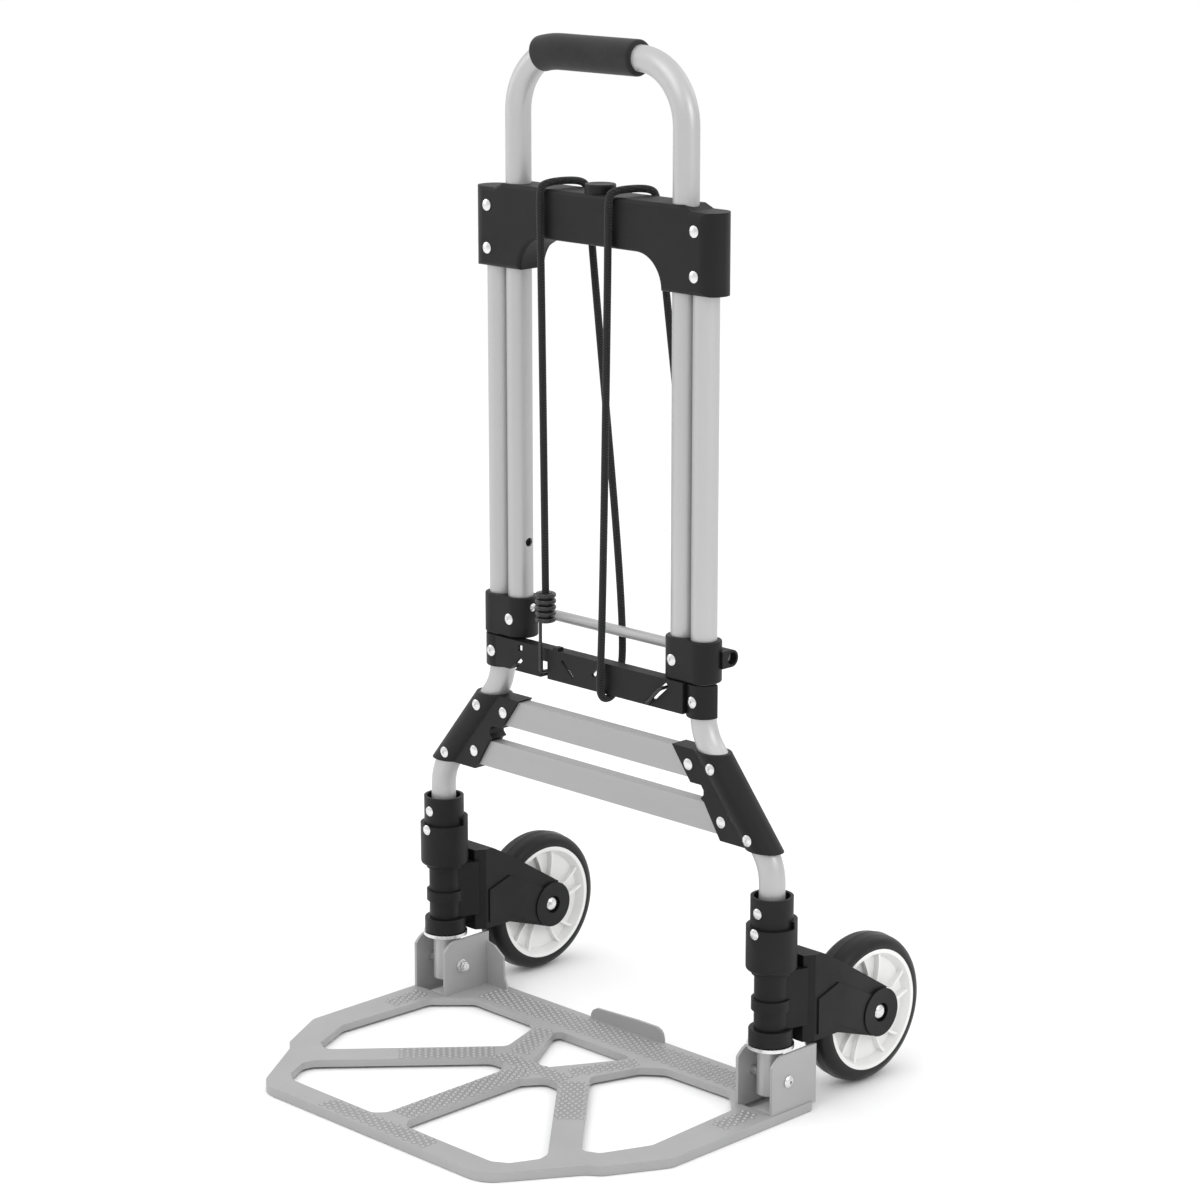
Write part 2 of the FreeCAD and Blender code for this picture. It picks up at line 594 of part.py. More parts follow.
def collar(x):
    """Black collar that carries the fork's weight."""
    body = ring(x, 0, dim("collar_low"), dim("collar_top"), dim("collar_dia") / 2, TUBE_R)
    rims = [e for e in body.Edges if e.BoundBox.ZLength < 0.01 and e.BoundBox.XLength > dim("collar_dia") - 0.1]
    return body.makeFillet(1.0, rims)


def fork():
    """Right fork: hub turning on the foot tube, boxed body and two legs with bosses for the axle."""
    x, y, level = dim("foot_x"), dim("wheel_y"), dim("wheel_radius")
    low, top = dim("collar_top") + 0.2, dim("housing_low") - 0.3
    bottom, crown, outer, inner = 52.5, 118.0, 18.4, 13.8
    column = [rod(V(x, 0, low), V(x, 0, top), dim("neck_dia") / 2),
              rod(V(x, 0, 80), V(x, 0, 88.5), dim("ring_dia") / 2),
              rod(V(x, 0, top - 2.5), V(x, 0, top), dim("ring_dia") / 2)]
    neck = [(x - 11.5, 2), (x - 16.8, 21), (x + 16.8, 21), (x + 11.5, 2)]
    body_plan = [(x - 13.5, 19.4), (x - outer, 27), (x - outer, 34), (x + outer, 34), (x + outer, 27), (x + 13.5, 19.4)]
    column.append(prism(neck, low, V(0, 0, top - low)))
    column.append(prism(body_plan, bottom, V(0, 0, crown - bottom)))
    side = [(27, bottom), (27, crown), (36, crown - 1), (52, 108), (y + 8, level + 17.5), (y, level),
            (y - 4, level - 18), (52, bottom)]
    raised = [(30, 57), (30, 84), (52, 91), (y - 10, level + 16), (y - 10, level - 16), (56, 57)]
    legs = []
    for sign in (-1, 1):
        face = x + sign * outer
        legs.append(prism(side, x + sign * inner, V(sign * (outer - inner), 0, 0)))
        legs.append(prism(raised, face - sign * 0.2, V(sign * 1.4, 0, 0)))
        legs.append(rod(V(x + sign * inner, y, level), V(face + sign * 2.2, y, level), 18.2))
    body = fuse_all(column + legs)
    tools = [rod(V(x, 0, 40), V(x, 0, 130), TUBE_R + dim("fit_gap")),
             rod(V(x - inner, y, level), V(x + inner, y, level), dim("wheel_radius") + 2.5),
             rod(V(x - 30, y, level), V(x + 30, y, level), dim("axle_dia") / 2)]
    for sign in (-1, 1):
        tools.append(rod(V(x + sign * 17.6, y, level), V(x + sign * 25, y, level), 7.2))
    return body.cut(fuse_loose(tools))


def axle():
    """Right axle with a domed nut on each end."""
    x, y, level = dim("foot_x"), dim("wheel_y"), dim("wheel_radius")
    shaft = rod(V(x - 18, y, level), V(x + 18, y, level), dim("axle_dia") / 2)
    caps = [domed(V(x + s * 17.6, y, level), X_AXIS * s, 5.6, 3.4, 3.0, 1.0) for s in (-1, 1)]
    return fuse_all([shaft] + caps)


def wheel_spacers():
    """Two spacer rings between hub and fork legs."""
    x, y, level = dim("foot_x"), dim("wheel_y"), dim("wheel_radius")
    rings = []
    for low, high in ((12.9, 13.8), (-13.8, -12.9)):
        outer = rod(V(x + low, y, level), V(x + high, y, level), 7.0)
        rings.append(outer.cut(rod(V(x + low - 1, y, level), V(x + high + 1, y, level), dim("axle_dia") / 2)))
    return group(rings)


RIB_GROUPS = 5
RIB_SPREAD = 12.0
RIB_THICK = 2.2
HUB_R = 12.0


def curved_rib(low, high, inner, outer):
    """Rib standing along +Z from the hub to the band, bowed towards +Y, thick in Y."""
    half, bow = RIB_THICK / 2, 3.0
    middle = (inner + outer) / 2
    sides = [[V(low, y, inner), V(low, y + bow, middle), V(low, y, outer)] for y in (-half, half)]
    edges = [Part.Arc(*sides[0]).toShape(), Part.LineSegment(sides[0][2], sides[1][2]).toShape(),
             Part.Arc(*reversed(sides[1])).toShape(), Part.LineSegment(sides[1][0], sides[0][0]).toShape()]
    return Part.Face(Part.Wire(edges)).extrude(V(high - low, 0, 0))


def rim():
    """Right wheel centre: hub, web, outer band and pairs of bowed ribs on both faces."""
    x, y, level = dim("foot_x"), dim("wheel_y"), dim("wheel_radius")
    half, radius = dim("wheel_width") / 2, dim("rim_radius")
    web_half, rib_half = 6.0, half - 2.2

    def disc(half_width, r):
        return rod(V(-half_width, 0, 0), V(half_width, 0, 0), r)

    band = disc(half, radius).cut(disc(half + 1, radius - 6.5))
    for sign in (-1, 1):
        mouth = Part.makeCone(radius - 6.5, radius - 3.0, half - web_half, V(sign * web_half, 0, 0), X_AXIS * sign)
        band = band.cut(mouth)
    parts = [band, disc(web_half, radius - 2), disc(half, HUB_R)]
    for i in range(RIB_GROUPS):
        for lean in (-RIB_SPREAD, RIB_SPREAD):
            rib = curved_rib(-rib_half, rib_half, HUB_R - 3, radius - 3.5)
            rib.rotate(ORIGIN, X_AXIS, 360.0 * i / RIB_GROUPS + lean)
            parts.append(rib)
    body = fuse_all(parts).cut(disc(half + 1, dim("axle_dia") / 2 + dim("fit_gap")))
    body.translate(V(x, y, level))
    return body


def tyre():
    """Right tyre: round shoulders, crowned tread and a raised moulding line."""
    half, inner, outer = dim("wheel_width") / 2, dim("rim_radius"), dim("wheel_radius")
    line = 0.5
    right = [V(line, 0, outer - 0.25), V(6.0, 0, outer - 0.9), V(half, 0, inner + 2.2), V(half, 0, inner)]
    left = [V(-p.x, 0, p.z) for p in reversed(right)]
    shoulder = V(half - 1.7, 0, inner + 6.6)
    edges = [Part.Arc(right[1], shoulder, right[2]).toShape(),
             Part.Arc(left[1], V(-shoulder.x, 0, shoulder.z), left[2]).toShape()]
    crown = V(0, 0, outer)
    for a, b in ((left[3], crown), (crown, right[0]), (right[0], right[1]), (right[2], right[3]),
                 (right[3], left[0]), (left[0], left[1]), (left[2], left[3])):
        edges.append(Part.LineSegment(a, b).toShape())
    section = Part.Face(Part.Wire(Part.__sortEdges__(edges)))
    body = section.revolve(ORIGIN, X_AXIS, 360)
    body.translate(V(dim("foot_x"), dim("wheel_y"), dim("wheel_radius")))
    return body


# ---------------------------------------------------------------- toe plate
CUT_OUTS = {
    "rear_right": [(44, -55), (57, -16), (72, -4), (136, -3), (161, -28), (165, -114), (149, -150), (136, -156)],
    "front_right": [(11, -94), (11, -205), (18, -213), (106, -213), (117, -206), (127, -186), (125, -177),
                    (36, -80), (22, -79)],
    "rear_middle": [(-42, -6), (42, -6), (8, -64), (-8, -64)],
}
SIDE_CORNER = 8.0
MIDDLE_CORNER = 5.0


def corner_rounded(points, radii):
    """Closed face from a polygon with its corners rounded, each by its own radius."""
    count = len(points)
    edges = []
    starts, ends = [], []
    for i, (a, b) in enumerate(points):
        before, here, after = V(*points[i - 1], 0), V(a, b, 0), V(*points[(i + 1) % count], 0)
        into, out = (here - before).normalize(), (after - here).normalize()
        turn = into.getAngle(out)
        room = min((here - before).Length, (after - here).Length) * 0.45
        back = min(radii[i] * math.tan(turn / 2), room)
        bend = back / math.tan(turn / 2)
        inward = (out - into).normalize()
        starts.append(here - into * back)
        ends.append(here + out * back)
        middle = here + inward * (bend / math.cos(turn / 2) - bend)
        edges.append(Part.Arc(starts[-1], middle, ends[-1]).toShape())
    runs = [Part.LineSegment(ends[i - 1], starts[i]).toShape() for i in range(count)]
    chain = []
    for i in range(count):
        chain += [runs[i], edges[i]]
    return Part.Face(Part.Wire(chain))


def plate_outline():
    """Plan of the toe plate: wide rear, a shoulder on each side, then sides narrowing to a straight front."""
    half, front, rear = dim("plate_half"), dim("plate_front"), dim("plate_rear")
    right = [(117, -front), (157, -172.5), (166.5, -165.5), (half, -121), (half, 24), (half - 8, rear)]
    radii = [24.0, 6.0, 8.0, 14.0, 5.0, 5.0]
    left = [(-a, b) for a, b in reversed(right)]
    return corner_rounded(right + left, radii + radii[::-1])


def lip(face, thickness, depth):
    """Turned-down lip along a face's edge: outside it, or inside where the thickness is negative."""
    other = face.makeOffset2D(thickness)
    band = face.cut(other) if thickness < 0 else other.cut(face)
    wall = band.extrude(V(0, 0, depth))
    wall.translate(V(0, 0, dim("plate_top") - depth))
    return wall


def all_cut_outs():
    """The plate's openings, mirrored where they come in pairs."""
    faces = []
    for name, points in CUT_OUTS.items():
        corner = MIDDLE_CORNER if name == "rear_middle" else SIDE_CORNER
        faces.append(corner_rounded(points, [corner] * len(points)))
        if name != "rear_middle":
            faces.append(corner_rounded([(-a, b) for a, b in reversed(points)], [corner] * len(points)))
    return faces


EAR_INNER = 15.3
EAR_THICK = 2.4
EAR_SIDE = ((-17, 43), (-15.3, 45), (-13, 47), (-10.3, 48.7), (-7.2, 50), (30, 50))


def hinge_ears():
    """Right pair of hinge ears let into the deck, the inner one with a rear wing."""
    x, foot = dim("foot_x"), dim("plate_top") - dim("plate_skin")
    side = ((EAR_SIDE[0][0], foot),) + EAR_SIDE + ((EAR_SIDE[-1][0], foot),)
    outside = prism(side, x + EAR_INNER, V(EAR_THICK, 0, 0))
    inside = prism(side, x - EAR_INNER - EAR_THICK, V(EAR_THICK, 0, 0))
    edge = x - EAR_INNER - EAR_THICK
    wing = prism([(edge + 1, foot), (edge + 1, 42), (edge - 8, 40), (edge - 18, 33), (edge - 19, 16),
                  (edge - 24, foot)], 28.0, V(0, 2.0, 0))
    level = dim("pivot_level")
    drill = rod(V(x - 30, 0, level), V(x + 30, 0, level), dim("pivot_dia") / 2 + dim("fit_gap"))
    return group([outside.cut(drill), fuse_all([inside, wing]).cut(drill)])


def rear_tab():
    """Upright tab in the middle of the plate's rear edge."""
    foot = dim("plate_top") - 2
    outline = [(-42, foot), (-42, 10), (-40, 13.5), (-36, 16), (8, 18), (28, 18), (32, 16.5), (34, 14), (35, 10),
               (35, foot)]
    return prism(outline, dim("plate_rear") - 2.2, V(0, 2.2, 0))


def toe_plate():
    """Pressed toe plate: skin, turned-down lips, openings with lips, rear tab and floor pad."""
    top, skin = dim("plate_top"), dim("plate_skin")
    outline = plate_outline()
    openings = all_cut_outs()
    deck = outline.extrude(V(0, 0, skin))
    deck.translate(V(0, 0, top - skin))
    holes = []
    for face in openings:
        hole = face.extrude(V(0, 0, 20))
        hole.translate(V(0, 0, -5))
        holes.append(hole)
    parts = [deck.cut(fuse_loose(holes)), lip(outline, -skin, top)]
    parts += [lip(face, skin * 0.8, top - 1.5) for face in openings]
    parts.append(rear_tab())
    parts.append(box(V(-40, -5, 0), V(40, 5, top - skin + 0.1)))
    body = fuse_loose(parts)
    slots = []
    for sign in (-1, 1):
        x = sign * dim("foot_x")
        slots.append(box(V(x - EAR_INNER, -15, -1), V(x + EAR_INNER, 27, top + 1)))
    body = body.cut(fuse_loose(slots))
    for sign in (-1, 1):
        body = body.cut(on_side(hinge_ears(), sign))
    return body.removeSplitter()


def pivot_bolt():
    """Right pivot bolt: socket head outside, washer, nut and thread end inside."""
    x, level = dim("foot_x"), dim("pivot_level")
    outer, radius = EAR_INNER + EAR_THICK, dim("pivot_dia") / 2
    bolt = socket_screw(V(x + outer, 0, level), X_AXIS, 4.6, 2.8, radius, 2 * outer + 6)
    disc = rod(V(x - outer - 1, 0, level), V(x - outer, 0, level), 5.0)
    nut = prism([(4.2 * math.cos(math.radians(60 * k)), level + 4.2 * math.sin(math.radians(60 * k)))
                 for k in range(6)], x - outer - 4.2, V(3.3, 0, 0))
    return fuse_all([bolt, disc, nut])


def pivot_bushes():
    """Spacer bushes between tube and ears, both sides."""
    level, radius = dim("pivot_level"), dim("pivot_dia") / 2
    bushes = []
    for sign in (-1, 1):
        for low, high in ((9.0, 15.0), (-15.0, -9.0)):
            x = sign * dim("foot_x")
            bush = rod(V(x + low, 0, level), V(x + high, 0, level), 4.4)
            bush = bush.cut(rod(V(x + low - 1, 0, level), V(x + high + 1, 0, level), radius))
            bushes.append(bush.cut(rod(V(x, 0, 0), V(x, 0, 60), TUBE_R)))
    return group(bushes)


# ---------------------------------------------------------------- cord and hooks
CORD_ROUTE = [V(-40, -17, 353), V(-44.5, -16.1, 651.6), V(-35, 21.3, 651.6), V(2.5, 22.7, 317),
              V(18, -1.1, 280.5), V(18.5, -17.4, 280.5), V(24.5, -16.1, 651.6), V(34, 21.3, 651.6), V(72, 29, 344)]
CORD_RADII = [5.5, 7.0, 9.0, 5.5, 5.5, 5.5, 7.0]


def bungee_cord():
    """Elastic cord: four taut strands over the yoke and one turn under the hook bar."""
    path = rounded_path(CORD_ROUTE, CORD_RADII)
    cord = swept(path, dim("cord_dia") / 2)
    section = math.pi * (dim("cord_dia") / 2) ** 2
    print("cord length %.1f mm, bend radii %s, volume ratio %.4f"
          % (path.Length, CORD_RADII, cord.Volume / (section * path.Length)))
    return cord


def wire_hook(top, points, radii):
    """Wire hook: plug and stacked turns on the cord's end, then a bent shank."""
    wire = dim("wire_dia") / 2
    turns, pitch = 5, 4.6
    low = top.z - turns * pitch
    parts = [rod(V(top.x, top.y, low), top, 5.0)]
    for i in range(turns):
        torus = Part.makeTorus(6.0, 1.9, V(top.x, top.y, low + pitch * (i + 0.5)), Z_AXIS)
        parts.append(torus)
    route = rounded_path([V(top.x + points[0][0], top.y + points[0][1], low + 3)] + [V(*p) for p in points[1:]], radii)
    parts.append(swept(route, wire))
    return fuse_all(parts)


def hook_left():
    """Front hook: straight down from its coil, through the bar's slot and up behind it."""
    return wire_hook(CORD_ROUTE[0], [(-4.5, -1), (-44.5, -18.2, 291), (-44.5, -7.5, 291), (-44.5, -7.5, 299)],
                     [3.0, 3.0])


def hook_right():
    """Rear hook: forward under the bar's top lip, out of the slanted slot, tip down."""
    return wire_hook(CORD_ROUTE[-1], [(4.0, 0), (76.5, 27, 305), (78, 0, 302), (77, -17.2, 301.5), (63.5, -17.2, 288)],
                     [4.0, 4.0, 2.5])


# ---------------------------------------------------------------- build
def build_root():
    """Pieces that stay with the frame."""
    for side, sign in SIDES:
        feature("frame_tube_" + side, on_side(frame_tube(), sign))
        feature("joint_shell_" + side, on_side(joint_shell(), sign))
        feature("cam_housing_" + side, on_side(cam_housing(), sign))
        feature("collar_" + side, collar(sign * dim("foot_x")))
        feature("housing_spring_" + side, coil(sign * dim("foot_x"), 0, dim("housing_low") + 6, 5, 4.0, 12.0, 1.1))
        feature("pivot_bolt_" + side, on_side(pivot_bolt(), sign))
    front, rear = yoke_halves()
    feature("yoke_front", front)
    feature("yoke_rear", rear)
    feature("yoke_rivets", yoke_rivets())
    feature("hook_bar", hook_bar())
    feature("hook_bar_screws", hook_bar_screws())
    feature("joint_screws", joint_screws())
    feature("bar_rivets", bar_rivets())
    feature("housing_rivets", housing_rivets())
    feature("pivot_bushes", pivot_bushes())
    cross_bar("cross_bar_upper", "cross_high", "cross_half_high", SHELL_RIVETS[0])
    cross_bar("cross_bar_lower", "cross_low", "cross_half_low", SHELL_RIVETS[1])
    washers()
    feature("bungee_cord", bungee_cord())
    feature("hook_left", hook_left())
    feature("hook_right", hook_right())


def washers():
    """Steel washers under the collars, from cylinders bound to the sheet."""
    for side, sign in SIDES:
        outer = doc.addObject("Part::Cylinder", "washer_disc_" + side)
        outer.setExpression("Radius", "dimensions.washer_dia / 2")
        outer.setExpression("Height", "dimensions.collar_low - dimensions.washer_low")
        inner = doc.addObject("Part::Cylinder", "washer_bore_" + side)
        inner.setExpression("Radius", "dimensions.tube_dia / 2")
        inner.setExpression("Height", "dimensions.collar_low - dimensions.washer_low")
        washer = doc.addObject("Part::Cut", "washer_" + side)
        washer.Base = outer
        washer.Tool = inner
        washer.Label = "washer_" + side
        washer.setExpression("Placement.Base.x", "%d * dimensions.foot_x" % sign)
        washer.setExpression("Placement.Base.z", "dimensions.washer_low")


def build_moving():
    """Handle, lock, forks, wheels and toe plate."""
    feature("handle_tube", handle_tube())
    feature("grip", grip())
    feature("slider_screws", slider_screws())
    feature("side_screws", side_screws())
    feature("button", button())
    feature("button_spring", coil(0, 0, 615.2, 6, 3.9, 3.4, 0.6))
    feature("toe_plate", toe_plate())
    for side, sign in SIDES:
        feature("slider_bracket_" + side, on_side(slider_bracket(), sign))
        feature("lock_pin_" + side, on_side(lock_pin(), sign))
        feature("fork_" + side, on_side(fork(), sign))
        feature("hinge_ears_" + side, on_side(hinge_ears(), sign))
        feature("axle_" + side, on_side(axle(), sign))
        feature("wheel_spacers_" + side, on_side(wheel_spacers(), sign))
        feature("rim_" + side, on_side(rim(), sign))
        feature("tyre_" + side, on_side(tyre(), sign))
    cross_rod()


def cross_rod():
    """Hollow rod joining the two sliders, from cylinders bound to the sheet."""
    outer = doc.addObject("Part::Cylinder", "rod_outside")
    outer.setExpression("Radius", "dimensions.rod_dia / 2")
    outer.setExpression("Height", "2 * dimensions.rod_half")
    inner = doc.addObject("Part::Cylinder", "rod_inside")
    inner.setExpression("Radius", "dimensions.rod_bore / 2")
    inner.setExpression("Height", "2 * dimensions.rod_half")
    tube = doc.addObject("Part::Cut", "cross_rod")
    tube.Base = outer
    tube.Tool = inner
    tube.Label = "cross_rod"
    tube.Placement = FreeCAD.Placement(V(-dim("rod_half"), dim("rod_back"), dim("rod_level")),
                                       FreeCAD.Rotation(Y_AXIS, 90))
    for axis, formula in (("x", "-dimensions.rod_half"), ("y", "dimensions.rod_back"),
                          ("z", "dimensions.rod_level")):
        tube.setExpression("Placement.Base." + axis, formula)


def pieces():
    """Every finished piece: bodies, cuts and plain features."""
    kinds = ("PartDesign::Body", "Part::Cut", "Part::Feature")
    return [o for o in doc.Objects if o.TypeId in kinds]


build_root()
build_moving()
doc.recompute()
os.makedirs("parts", exist_ok=True)
for piece in pieces():
    bad = [word for word in ("Invalid", "Error") if word in piece.State]
    shape = piece.Shape
    if bad or shape.isNull() or not shape.isValid() or not shape.Solids:
        raise RuntimeError("%s is not a sound solid: %s" % (piece.Label, bad))
    shape.exportStep("parts/%s.step" % piece.Label)
    print("%-22s solids %2d volume %9.0f" % (piece.Label, len(shape.Solids), shape.Volume))
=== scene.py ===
import json
import math

import bmesh
import bpy
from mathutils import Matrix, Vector


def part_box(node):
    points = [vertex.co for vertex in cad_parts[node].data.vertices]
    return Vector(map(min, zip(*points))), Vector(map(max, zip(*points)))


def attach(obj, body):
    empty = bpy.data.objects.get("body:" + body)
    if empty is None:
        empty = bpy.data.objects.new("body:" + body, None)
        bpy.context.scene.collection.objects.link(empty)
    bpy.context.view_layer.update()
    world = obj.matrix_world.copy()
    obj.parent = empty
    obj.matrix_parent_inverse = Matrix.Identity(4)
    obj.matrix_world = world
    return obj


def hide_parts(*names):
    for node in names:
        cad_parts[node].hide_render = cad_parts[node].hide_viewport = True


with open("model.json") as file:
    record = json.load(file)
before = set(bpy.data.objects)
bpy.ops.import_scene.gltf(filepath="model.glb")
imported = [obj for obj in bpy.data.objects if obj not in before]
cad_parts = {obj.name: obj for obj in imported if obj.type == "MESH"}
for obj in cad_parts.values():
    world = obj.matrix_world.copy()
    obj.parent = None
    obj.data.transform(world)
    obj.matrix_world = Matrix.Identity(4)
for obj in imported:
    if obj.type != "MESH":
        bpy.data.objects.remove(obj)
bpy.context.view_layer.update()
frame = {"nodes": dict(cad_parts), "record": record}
nodes = frame["nodes"]
scene = bpy.context.scene
SIDES = (("left", -1), ("right", 1))

# ---------------------------------------------------------------- camera
CAMERA_PLACE = (1.7074, -1.7120, 0.9450)
CAMERA_AZIMUTH = 44.93
CAMERA_DROP = 13.81
CAMERA_LENS = 102.22
CAMERA_SENSOR = 36.0
CAMERA_REACH = 20.0


def add_camera():
    """Camera in front, to the right and a little above, looking slightly down."""
    data = bpy.data.cameras.new("camera")
    data.lens = CAMERA_LENS
    data.sensor_width = CAMERA_SENSOR
    data.clip_end = CAMERA_REACH
    camera = bpy.data.objects.new("camera", data)
    camera.location = CAMERA_PLACE
    camera.rotation_euler = (math.radians(90 - CAMERA_DROP), 0, math.radians(CAMERA_AZIMUTH))
    scene.collection.objects.link(camera)
    scene.camera = camera


add_camera()

# ---------------------------------------------------------------- cord
CORD_DIAMETER = 0.0055
CORD_CURVE_STEPS = 24
CORD_ROUND_STEPS = 5
CORD_POINTS = [
    (-0.0400, -0.0170, 0.3530), (-0.0443, -0.0161, 0.6120), (-0.0447, -0.0173, 0.6470),
    (-0.0437, -0.0128, 0.6535), (-0.0364, 0.0170, 0.6535), (-0.0350, 0.0229, 0.6465),
    (-0.0308, 0.0213, 0.6120), (0.0022, 0.0238, 0.3260), (0.0175, 0.0010, 0.2825),
    (0.0185, -0.0208, 0.2812), (0.0188, -0.0173, 0.3170), (0.0238, -0.0161, 0.6120),
    (0.0244, -0.0173, 0.6470), (0.0252, -0.0128, 0.6535), (0.0330, 0.0170, 0.6535),
    (0.0344, 0.0229, 0.6465), (0.0388, 0.0222, 0.6120), (0.0720, 0.0290, 0.3440),
]


def curve_length(curve_object):
    """Length of a curve object's evaluated centreline."""
    graph = bpy.context.evaluated_depsgraph_get()
    spline_mesh = bpy.data.meshes.new_from_object(curve_object.evaluated_get(graph))
    length = sum((spline_mesh.vertices[e.vertices[0]].co - spline_mesh.vertices[e.vertices[1]].co).length
                 for e in spline_mesh.edges)
    bpy.data.meshes.remove(spline_mesh)
    return length


def add_cord():
    """The bungee cord as one NURBS curve; its centreline length is measured but not kept.

    The thickness is held by the points' radius, so the curve's box is the cord's own.
    """
    data = bpy.data.curves.new("bungee", "CURVE")
    data.dimensions = "3D"
    data.resolution_u = CORD_CURVE_STEPS
    spline = data.splines.new("NURBS")
    spline.points.add(len(CORD_POINTS) - 1)
    for point, place in zip(spline.points, CORD_POINTS):
        point.co = (*place, 1.0)
        point.radius = CORD_DIAMETER / 2
    spline.order_u = 3
    spline.use_endpoint_u = True
    cord = bpy.data.objects.new("bungee", data)
    scene.collection.objects.link(cord)
    bpy.context.view_layer.update()
    length = curve_length(cord)
    data.bevel_depth = 1.0
    data.bevel_resolution = CORD_ROUND_STEPS
    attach(cord, "frame")
    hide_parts("bungee_cord")
    return cord


cord = add_cord()

# ---------------------------------------------------------------- materials

class Shader:
    """Small builder for one procedural material."""

    def __init__(self, name, color, rough, metal=0.0):
        self.material = bpy.data.materials.new(name)
        self.material.use_nodes = True
        self.tree = self.material.node_tree
        self.bsdf = self.tree.nodes["Principled BSDF"]
        self.bsdf.inputs["Base Color"].default_value = (*color, 1.0)
        self.bsdf.inputs["Roughness"].default_value = rough
        self.bsdf.inputs["Metallic"].default_value = metal
        self.place = self.node("ShaderNodeTexCoord").outputs["Object"]
        self.bumps = None

    def node(self, kind, **values):
        """New node with the given socket values or properties."""
        made = self.tree.nodes.new(kind)
        for key, value in values.items():
            if key in made.inputs:
                made.inputs[key].default_value = value
            else:
                setattr(made, key, value)
        return made

    def link(self, a, b):
        """Join two sockets."""
        self.tree.links.new(a, b)

    def stretched(self, scale):
        """Object coordinates scaled apart per axis."""
        mapping = self.node("ShaderNodeMapping")
        mapping.inputs["Scale"].default_value = scale
        self.link(self.place, mapping.inputs["Vector"])
        return mapping.outputs["Vector"]

    def noise(self, scale, detail=4.0, roughness=0.55, stretch=(1, 1, 1)):
        """Noise value in object space."""
        made = self.node("ShaderNodeTexNoise", Scale=scale, Detail=detail, Roughness=roughness)
        self.link(self.stretched(stretch), made.inputs["Vector"])
        return made.outputs["Fac"]

    def ramp(self, value, stops):
        """Colour ramp with (place, colour) stops."""
        made = self.node("ShaderNodeValToRGB")
        elements = made.color_ramp.elements
        while len(elements) < len(stops):
            elements.new(0.5)
        for element, (where, color) in zip(elements, stops):
            element.position = where
            element.color = (*color, 1.0)
        self.link(value, made.inputs["Fac"])
        return made.outputs["Color"]

    def vary_color(self, value, dark, light, low=0.3, high=0.7):
        """Base colour between two tones by a value."""
        self.link(self.ramp(value, [(low, dark), (high, light)]), self.bsdf.inputs["Base Color"])

    def vary_rough(self, value, smooth, rough, low=0.3, high=0.7):
        """Roughness between two values by a value."""
        made = self.node("ShaderNodeMapRange")
        made.inputs["From Min"].default_value = low
        made.inputs["From Max"].default_value = high
        made.inputs["To Min"].default_value = smooth
        made.inputs["To Max"].default_value = rough
        self.link(value, made.inputs["Value"])
        self.link(made.outputs["Result"], self.bsdf.inputs["Roughness"])

    def bump(self, value, strength, distance):
        """Add one layer of bump."""
        made = self.node("ShaderNodeBump", Strength=strength, Distance=distance)
        self.link(value, made.inputs["Height"])
        if self.bumps is not None:
            self.link(self.bumps, made.inputs["Normal"])
        self.bumps = made.outputs["Normal"]
        self.link(self.bumps, self.bsdf.inputs["Normal"])


def tones(level, spread, tint=(1.0, 1.0, 1.0)):
    """Darker and lighter version of one grey."""
    return tuple(level * (1 - spread) * t for t in tint), tuple(level * (1 + spread) * t for t in tint)


def tube_material():
    """Satin anodised tube with faint drawing lines along its length."""
    shader = Shader("tube_aluminium", (0.46, 0.46, 0.46), 0.4, 0.5)
    shader.vary_color(shader.noise(14, stretch=(1, 1, 0.1)), *tones(0.46, 0.05))
    shader.vary_rough(shader.noise(60, stretch=(1, 1, 0.05)), 0.36, 0.48)
    shader.bump(shader.noise(900, detail=2, stretch=(1, 1, 0.02)), 0.06, 0.0002)
    return shader.material


def bar_material():
    """Flat grey section, extrusion lines along X."""
    shader = Shader("bar_aluminium", (0.36, 0.36, 0.36), 0.5, 0.25)
    shader.vary_color(shader.noise(9, stretch=(0.15, 1, 1)), *tones(0.36, 0.04))
    shader.vary_rough(shader.noise(50, stretch=(0.05, 1, 1)), 0.45, 0.58)
    shader.bump(shader.noise(800, detail=2, stretch=(0.01, 1, 1)), 0.08, 0.0002)
    return shader.material


def black_plastic_material():
    """Moulded black plastic: fine grain, soft flow marks and rubbed spots."""
    shader = Shader("black_plastic", (0.01, 0.01, 0.0105), 0.5)
    shader.bsdf.inputs["Specular IOR Level"].default_value = 0.24
    shader.vary_color(shader.noise(30, detail=6), *tones(0.0065, 0.25, (1, 1, 1.04)))
    shader.vary_rough(shader.noise(22), 0.40, 0.58)
    shader.bump(shader.noise(1500, detail=3), 0.25, 0.00025)
    shader.bump(shader.noise(45, detail=2), 0.15, 0.0006)
    return shader.material


def foam_material():
    """Closed-cell foam with small pores."""
    shader = Shader("grip_foam", (0.02, 0.02, 0.021), 0.85)
    cells = shader.node("ShaderNodeTexVoronoi", Scale=900.0)
    shader.link(shader.place, cells.inputs["Vector"])
    shader.bsdf.inputs["Specular IOR Level"].default_value = 0.35
    shader.vary_color(shader.noise(60, detail=5), *tones(0.010, 0.3))
    shader.bump(cells.outputs["Distance"], 0.35, 0.0004)
    shader.bump(shader.noise(120, detail=3), 0.2, 0.0006)
    shader.bsdf.inputs["Sheen Weight"].default_value = 0.15
    return shader.material


def plate_material(name, level):
    """Grey powder coat with orange peel and light scuffs."""
    shader = Shader(name, (level,) * 3, 0.45)
    shader.vary_color(shader.noise(11, detail=7), *tones(level, 0.05))
    shader.vary_rough(shader.noise(35, detail=5), 0.36, 0.52)
    shader.bump(shader.noise(420, detail=2), 0.10, 0.0003)
    shader.bump(shader.noise(60, detail=3), 0.06, 0.0006)
    return shader.material


